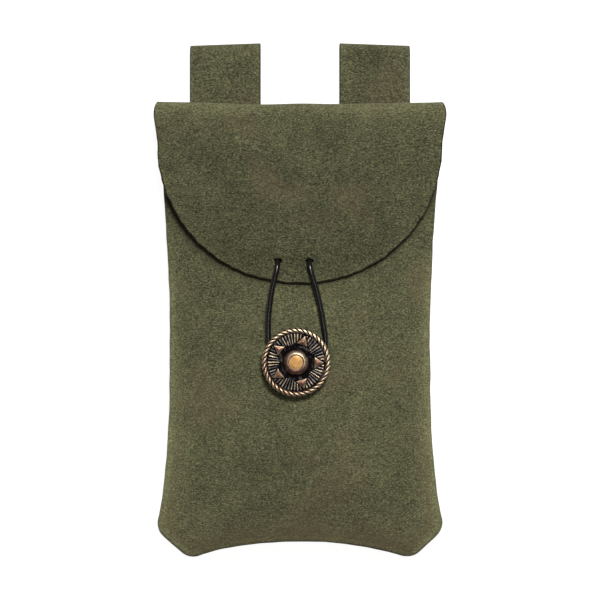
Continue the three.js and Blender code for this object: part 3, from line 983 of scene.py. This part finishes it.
def panel_tones(grid):
    """Rubbed light at the turned edges, partly wear and partly painted sheen, browned at the hem and the
    low sides, dark in the low seam, and darkened on the right side as painted shade.
    """
    x, y = grid[..., 0], grid[..., 1]
    distance = edge_distance(x, y)
    # Painted sheen as well as wear: the turned edges are lightened, from the middle of the sides down.
    rub_and_painted_light = fading(distance - 1, SIDE_RUB_AND_SHEEN_REACH) * smooth(-y, *SIDE_RUB_AND_SHEEN_DOWN)
    brown = fading(y - bottom_edge(x), HEM_BROWN_REACH) * (0.8 + 0.2 * pucker_drift(x, y))
    rub_and_painted_light = rub_and_painted_light * (1 - 0.7 * smooth(brown, 0.1, 0.5))
    stripe = hump(distance, STRIPE_INSET, STRIPE_WIDTH) * smooth(-y, *STRIPE_DOWN)
    on_corner = smooth(abs(x), *CORNER_RUB_ACROSS) * smooth(-y, *CORNER_RUB_DOWN)
    corner = hump(distance, CORNER_RUB_INSET, CORNER_RUB_WIDTH) * on_corner
    brown = brown + 0.55 * stripe
    rub_and_painted_light = rub_and_painted_light + 0.3 * stripe + 0.45 * corner
    # Darker along the seam line near the hem.
    dark_hem_seam = 0.8 * hump(distance, 0, HEM_SEAM_DARK_WIDTH) * smooth(-y, *HEM_SEAM_DARK_DOWN)
    # Painted shade: the body's right side is darkened, against the stronger light that the key gives it.
    dye_and_shade = 0.4 * smooth(x, *RIGHT_SHADE_ACROSS)
    return {"rub_and_painted_light": rub_and_painted_light, "brown": np.clip(brown, 0, 1), "dye_and_shade": dye_and_shade, "cut": dark_hem_seam}


def flap_tones(grid, back_rows):
    """The fold and the flap's edge are rubbed light, the fold partly with painted highlight and sheen,
    the flap is darker and the back is as the front.
    """
    tones = panel_tones(grid)
    x, y = grid[..., 0], grid[..., 1]
    down = np.maximum(0, -y)
    # Wear and painted highlight at the fold, and a painted sheen fading down the flap's upper part.
    rub_and_painted_light = 0.88 * fading(down - 1, FOLD_RUB_AND_HIGHLIGHT_REACH) + 0.1 * fading(down, FOLD_SHEEN_REACH)
    rub_and_painted_light = rub_and_painted_light + 0.3 * fading(1 - flap_reach(x, y), FLAP_EDGE_RUB_SHARE) * smooth(down, 10, 30)
    middle = hump(x, 0, FLAP_MIDDLE_WIDTH) * smooth(down, 8, 32)
    flap = {"rub_and_painted_light": rub_and_painted_light, "brown": 0 * rub_and_painted_light, "dye_and_shade": 1.45 + 0.6 * middle, "cut": 0 * rub_and_painted_light}
    return {name: np.concatenate([tones[name][:back_rows], flap[name][back_rows:]]) for name in flap}


def hide(material):
    """One piece of hide: the back, the fold and the flap, with the cord's two oval slits."""
    counts = []

    def rows(side):
        back = panel_rows(-1, side)
        counts.append(len(back))
        return np.concatenate([back, unrolled_rows(back[-1], side), fold_rows(side), flap_rows(side)])

    grid = both_halves(rows)
    points, faces, values = wall(grid, flap_tones(grid, counts[0]))
    piece = mesh_object("hide_dressed", points, faces, values, material)
    line = rounded_line(np.array(CORD_ROUTE, float))
    reach = ROUTE_IN_FLAP * ROUTE_STEPS
    for end in (line[:reach:ROUTE_STEPS], line[-reach::ROUTE_STEPS]):
        for aside in (-SLIT_STEP, 0, SLIT_STEP):
            cut_hole(piece, end + [aside, SLIT_SHIFT, 0], CORD_HOLE)
    return place_on_pouch(piece, "suede", "back_panel_flap")


def front_panel(material):
    """The front, with painted shadow along the flap's edge, and the hole for the concho's post."""
    grid = both_halves(lambda side: panel_rows(1, side))[::-1]
    tones = panel_tones(grid)
    outside = FLAP_HALF * (flap_reach(grid[..., 0], grid[..., 1]) - 1)
    width = lerp(*FLAP_SHADOW_WIDTHS, smooth(-grid[..., 0], *FLAP_SHADOW_LEFT_ACROSS))
    spread = np.maximum(0, outside) / width
    # Painted shadow of the flap: a dark core just beyond its edge and a faint halo, wider on the left.
    painted_flap_shadow = 0.75 * hump(spread, 0, 1) + 0.25 * hump(spread, 0, FLAP_SHADOW_HALO)
    tones["cut"] = np.maximum(tones["cut"], painted_flap_shadow * smooth(outside, *FLAP_SHADOW_START))
    points, faces, values = wall(grid, tones)
    piece = mesh_object("front_panel_dressed", points, faces, values, material)
    low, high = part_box("concho_post")
    post = [(CONCHO_ACROSS, -CONCHO_DOWN, z) for z in np.linspace(low.z * MM, high.z * MM, 5)]
    cut_hole(piece, post, POST_HOLE)
    return place_on_pouch(piece, "suede", "front_panel")


def loop_line():
    """The strap's outer face from its side: up the back, over the top and down the floor side."""
    outer_radius = LOOP_DEPTH / 2
    top = LOOP_RISE - outer_radius

    def seam_top(y):
        return back_height(np.full_like(y, (LOOP_SPACING - LOOP_WIDTH) / 2), y) - LAY_GAP

    def rear(y):
        return (seam_top(y) - 2 * LEATHER) * smooth(-y, LOOP_SLOT_DOWN, LOOP_SEAM_DOWN)

    up = np.linspace(-LOOP_SEAM_DOWN - LOOP_TAIL, top, LOOP_STEPS + 1)[:-1]
    turn = np.linspace(math.pi / 2, -math.pi / 2, 25)
    down = np.linspace(top, -LOOP_SEAM_DOWN - LOOP_TAIL, LOOP_STEPS + 1)[1:]
    front_z = np.where(up < -LOOP_SEAM_DOWN, seam_top(up), LOOP_DEPTH)
    y = np.concatenate([up, top + outer_radius * np.cos(turn), down])
    z = np.concatenate([front_z, outer_radius * (1 + np.sin(turn)), rear(down)])
    return y, z


def belt_loop(side, material):
    """A strap folded into a loop and sewn under the back, with its fold and its edges rubbed light."""
    outward = np.linspace(0, LOOP_WIDTH, 25)
    y, z = loop_line()
    across = side * ((LOOP_SPACING - LOOP_WIDTH) / 2 + outward)
    raised = np.maximum(0, y)[:, None] / LOOP_RISE
    lean = LOOP_SLANT * raised * outward[None, :] / LOOP_WIDTH
    grid = np.stack(np.broadcast_arrays(across, y[:, None] - lean, z[:, None]), -1)
    if side < 0:
        grid = grid[:, ::-1]
    on_fold = fading(LOOP_RISE - grid[..., 1], LOOP_FOLD_RUB_REACH)
    on_edges = fading(np.minimum(outward, LOOP_WIDTH - outward), LOOP_EDGE_RUB_REACH)
    rub_and_painted_light = 0.3 * (on_fold + on_edges)
    points, faces, values = wall(grid, {"rub_and_painted_light": rub_and_painted_light, "dye_and_shade": 1 + 0 * rub_and_painted_light})
    name = "belt_loop_right" if side > 0 else "belt_loop_left"
    piece = mesh_object(name + "_dressed", points, faces, values, material)
    return place_on_pouch(piece, "suede", name)


def stitch(start, end, sides=8, steps=6):
    """One stitch: a short round thread whose ends dip into the leather."""
    share = np.linspace(0, 1, steps)[:, None]
    line = lerp(np.asarray(start, float), np.asarray(end, float), share)
    line[:, 2] += STITCH_RISE * (np.sin(math.pi * share[:, 0]) - STITCH_DIP_SHARE)
    return tube(line, THREAD / 2, sides)


def loop_stitches(side, material):
    """The box of stitches on a loop's sewn end, on the side that lies towards the floor."""
    across = side * LOOP_SPACING / 2
    low = -LOOP_SEAM_DOWN - LOOP_TAIL + BOX_INSET
    high = -LOOP_SEAM_DOWN - 0.5
    wide = LOOP_WIDTH / 2 - BOX_INSET
    corners = [(-wide, low), (wide, low), (wide, high), (-wide, high), (-wide, low)]
    y, z = loop_line()
    under_y, under_z = y[::-1][:LOOP_STEPS], z[::-1][:LOOP_STEPS]
    points, faces, count = [], [], 0
    for (xa, ya), (xb, yb) in zip(corners, corners[1:]):
        length = math.hypot(xb - xa, yb - ya)
        number = round(length / STITCH_PITCH)
        for k in range(number):
            ends = [(k + 0.5 + s * STITCH_LENGTH / STITCH_PITCH / 2) / number for s in (-1, 1)]
            spots = []
            for share in ends:
                spot_y = lerp(ya, yb, share)
                spot_z = np.interp(spot_y, under_y, under_z)
                spots.append((across + lerp(xa, xb, share), spot_y, spot_z))
            new_points, new_faces = stitch(*spots)
            new_points[:, 2] = 2 * np.interp(new_points[:, 1], under_y, under_z) - new_points[:, 2]
            points.append(new_points)
            faces.append(new_faces + count)
            count += len(new_points)
    name = "loop_stitches_right" if side > 0 else "loop_stitches_left"
    sewn = (np.concatenate(points), np.concatenate(faces))
    piece = mesh_object(name, *sewn, material=material)
    return place_on_pouch(piece, "suede")


def seam_stitches(material):
    """The seam's thread where it crosses the groove between the two rolled edges."""
    step = max(1, round(STITCH_PITCH / ROW_STEP))
    points, faces, count = [], [], 0
    for side in (-1, 1):
        for i in range(step, len(OUTLINE) - step, step):
            inset = OUTLINE[i] + INWARD[i] * SEAM_THREAD_INSET
            along = np.array([INWARD[i][1], -INWARD[i][0]]) * SEAM_THREAD_SLANT
            height = seam_height(inset[1])
            lower = (side * (inset[0] - along[0]), inset[1] - along[1], height - SEAM_THREAD_HALF)
            upper = (side * (inset[0] + along[0]), inset[1] + along[1], height + SEAM_THREAD_HALF)
            new_points, new_faces = tube(np.linspace(lower, upper, 4), SEAM_THREAD / 2, 6)
            points.append(new_points)
            faces.append(new_faces + count)
            count += len(new_points)
    sewn = (np.concatenate(points), np.concatenate(faces))
    piece = mesh_object("seam_stitches", *sewn, material=material)
    return place_on_pouch(piece, "suede")


def rope_relief(share, turn):
    """The rim's rope: a round bead cut into slanting strands. Share runs from its inner side out."""
    bead = np.sqrt(np.clip(1 - (2 * share - 1) ** 2, 0, 1))
    strand = 1 - np.abs(np.sin(ROPE_STRANDS / 2 * (turn - ROPE_TWIST * share))) ** 7
    return bead * (1 - ROPE_GROOVE * (1 - strand)), smooth(strand, 0.2, 0.8) * bead**0.5


def pyramid_relief(radius, turn):
    """Five three-sided points: their height, how far inside them a place is, their bright rims, and how
    far inside the smooth strip round each it is."""
    sector = 2 * math.pi / PYRAMID_COUNT
    local = (turn - PYRAMID_TURN + sector / 2) % sector - sector / 2
    u, v = radius * np.cos(local), radius * np.sin(local)
    length = PYRAMID_OUTER - PYRAMID_INNER
    slope = math.hypot(length, PYRAMID_WIDTH / 2)
    to_base = u - PYRAMID_INNER
    to_sides = [((PYRAMID_OUTER - u) * PYRAMID_WIDTH / 2 + s * v * length) / slope for s in (-1, 1)]
    to_side = np.minimum(*to_sides)
    nearest = np.minimum(to_base, to_side)
    parts = [np.exp(-PYRAMID_ROUNDING * np.clip(d, -3, 3)) for d in (to_base, *to_sides)]
    rounded = -np.log(sum(parts)) / PYRAMID_ROUNDING
    step = PYRAMID_STEP * smooth(nearest, -0.3, 0.1)
    height = PYRAMID_HEIGHT * (step + PYRAMID_SLOPE * np.maximum(0, rounded))
    rim = hump(nearest, 0.12, 0.26)
    return height, nearest, rim, np.minimum(to_base + PYRAMID_TO_BOSS, to_side)


def concho_relief(radius, turn):
    """The cast face's height over the plate's back, and how rubbed back, golden and coppery it is, with
    painted light towards the upper right and painted shade to the lower left.
    """
    outer = CONCHO_DIAMETER / 2
    rope_inner = outer - ROPE_WIDTH
    random = np.random.default_rng(5)
    strength = random.uniform(0.35, 1, RAY_COUNT)
    ray_index = (np.round(turn / (2 * math.pi) * RAY_COUNT) % RAY_COUNT).astype(int)
    ray = np.abs(np.cos(RAY_COUNT / 2 * turn)) ** 1.2
    field = smooth(radius, RAY_INNER, RAY_INNER + 0.5)
    field = field * (1 - smooth(radius, rope_inner - 0.45, rope_inner))
    floor_level = CONCHO_PLATE - RAY_FIELD_SINK
    rays = ray * strength[ray_index] * field
    height = floor_level + RAY_HEIGHT * rays
    worn_and_lit = 0.95 * rays
    points, near, ridge, smooth_strip = pyramid_relief(radius, turn)
    on_point = near > -0.3
    clear = smooth(smooth_strip, -0.5, -0.25)
    height = lerp(height, floor_level, clear)
    worn_and_lit = worn_and_lit * (1 - clear)
    height = np.where(on_point, floor_level + points, height)
    worn_and_lit = np.where(on_point, 0.45 * smooth(near, -0.15, 0.1) + 0.35 * ridge, worn_and_lit)
    # Painted light and shade: towards the upper right, where the key light falls, the face is painted
    # more rubbed and less coppery; towards the lower left darker and browner.
    lit_side = 0.5 + 0.5 * np.cos(turn - math.radians(60))
    boss_radius = BOSS_DIAMETER / 2
    dish_radius = DISH_DIAMETER / 2
    share = np.clip(radius / boss_radius, 0, 1)
    dome = BOSS_HEIGHT * (1 - share**4.5) ** 0.55
    dish = DISH_DEPTH * (1 - smooth(radius, dish_radius - 0.35, dish_radius + 0.2))
    on_boss = radius < boss_radius
    height = np.where(on_boss, CONCHO_PLATE + dome - dish, height)
    # The boss's ring: painted light on its upper right, painted shade, darker and browner, on its lower
    # left.
    ring = 0.1 + 0.75 * smooth(boss_radius - radius, 0.2, 1.7) * lerp(0.5, 1, lit_side)
    worn_and_lit = np.where(on_boss, np.where(radius < dish_radius - 0.3, 0.75, ring), worn_and_lit)
    copper_and_shade = np.where(on_boss, lerp(0.75, 0.25, lit_side), 0)
    copper_and_shade = np.where(on_point, 0.85 * smooth(near, 0.1, 0.4), copper_and_shade)
    gold = 1 - smooth(radius, dish_radius - 0.6, dish_radius - 0.05)
    rope_share = (radius - rope_inner) / ROPE_WIDTH
    on_rope = rope_share > 0
    rope, shine = rope_relief(np.clip(rope_share, 0, 1), turn)
    height = np.where(on_rope, CONCHO_PLATE - 0.1 + ROPE_HEIGHT * rope, height)
    # The rope: painted light towards the upper right, browner painted shade on the lower left.
    worn_and_lit = np.where(on_rope, (1.1 * shine - 0.05) * lerp(0.85, 1, lit_side), worn_and_lit)
    copper_and_shade = np.where(on_rope, 0.5 * (1 - lit_side), copper_and_shade)
    return height, {"worn_and_lit": np.clip(worn_and_lit, 0, 1.1), "gold": gold + 0 * turn, "copper_and_shade": copper_and_shade}


def concho(material):
    """The cast disc: its relief on a fine polar grid, a thin rounded rim and a flat back."""
    outer = CONCHO_DIAMETER / 2
    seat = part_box("concho")[0].z * MM
    columns = STRAND_COLUMNS * ROPE_STRANDS
    turn = np.linspace(0, 2 * math.pi, columns + 1)[None, :]
    inside_rope = np.linspace(0, outer - ROPE_WIDTH, FACE_ROWS)
    on_rope = np.linspace(outer - ROPE_WIDTH, outer, ROPE_ROWS)[1:]
    radius = np.concatenate([inside_rope, on_rope])
    height, tones = concho_relief(radius[:, None], turn % (2 * math.pi))
    under = [(outer - CONCHO_EDGE, CONCHO_EDGE), (outer - CONCHO_BEVEL, 0), (0, 0)]
    radii = np.concatenate([radius, [r for r, _ in under]])
    rows = np.concatenate([height, [np.full(columns + 1, h) for _, h in under]])
    back = np.zeros((len(under), columns + 1))
    x = CONCHO_ACROSS + radii[:, None] * np.cos(turn)
    y = -CONCHO_DOWN + radii[:, None] * np.sin(turn)
    grid = np.stack([x, y, seat + rows], -1)[:, ::-1]
    points, faces, first = welded(grid.reshape(-1, 3), grid_faces(len(radii), columns + 1))
    whole = {name: np.concatenate([value, back])[:, ::-1] for name, value in tones.items()}
    values = {name: value.reshape(-1)[first] for name, value in whole.items()}
    piece = mesh_object("concho_dressed", points, faces, values, material)
    return place_on_pouch(piece, "antique_brass", "concho")


# Floor and light


def floor():
    """White paper, 8 m wide, so that it fills every view."""
    half = 4
    corners = [(x * half, y * half, 0) for x, y in ((-1, -1), (1, -1), (1, 1), (-1, 1))]
    mesh = bpy.data.meshes.new("floor")
    mesh.from_pydata(corners, [], [(0, 1, 2, 3)])
    mesh.materials.append(pale_paper())
    ground = bpy.data.objects.new("floor", mesh)
    bpy.context.scene.collection.objects.link(ground)
    ground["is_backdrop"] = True


def area_light(name, place, size, power, colour):
    lamp = bpy.data.lights.new(name, "AREA")
    lamp.shape = "DISK"
    lamp.size = size
    lamp.energy = power
    lamp.color = linear(colour)[:3]
    light = bpy.data.objects.new(name, lamp)
    light.location = place
    light.rotation_euler = (-Vector(place)).to_track_quat("-Z", "Y").to_euler()
    bpy.context.scene.collection.objects.link(light)


def lights():
    """A key beyond the top, a soft light overhead, a small one to streak the cord, white all round."""
    area_light("key", (0.12, 0.42, 1.05), 0.26, 12, "ffffff")
    area_light("overhead", (0, 0, 1.35), 0.7, 0.8, "ffffff")
    area_light("cord_streak", (0.12, 0.02, 1.3), 0.1, 1.1, "ffffff")
    world = bpy.data.worlds.new("studio")
    world.use_nodes = True
    world.node_tree.nodes["Background"].inputs["Color"].default_value = linear("ffffff")
    world.node_tree.nodes["Background"].inputs["Strength"].default_value = 0.12
    bpy.context.scene.world = world
    bpy.context.scene.view_settings.view_transform = "Standard"


def write_sizes():
    boxes = {"cad": cad_box, "visual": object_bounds()}
    {name: [list(corner) for corner in box] for name, box in boxes.items()}


camera()
cord_leather = black_leather_cord()
cord, cord_length = closure_cord(cord_leather)
knots = [cord_knot(side, cord_leather) for side in (-1, 1)]
tuple(in_frame(CORD_ROUTE[0]))

suede = olive_suede()
thread = waxed_linen_thread()
brass = antique_brass()
hide(suede)
front_panel(suede)
for loop_side in (-1, 1):
    belt_loop(loop_side, suede)
    loop_stitches(loop_side, thread)
seam_stitches(thread)
concho(brass)
post_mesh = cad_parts["concho_post"].data
post_mesh.materials.clear()
post_mesh.materials.append(brass)

floor()
lights()
write_sizes()
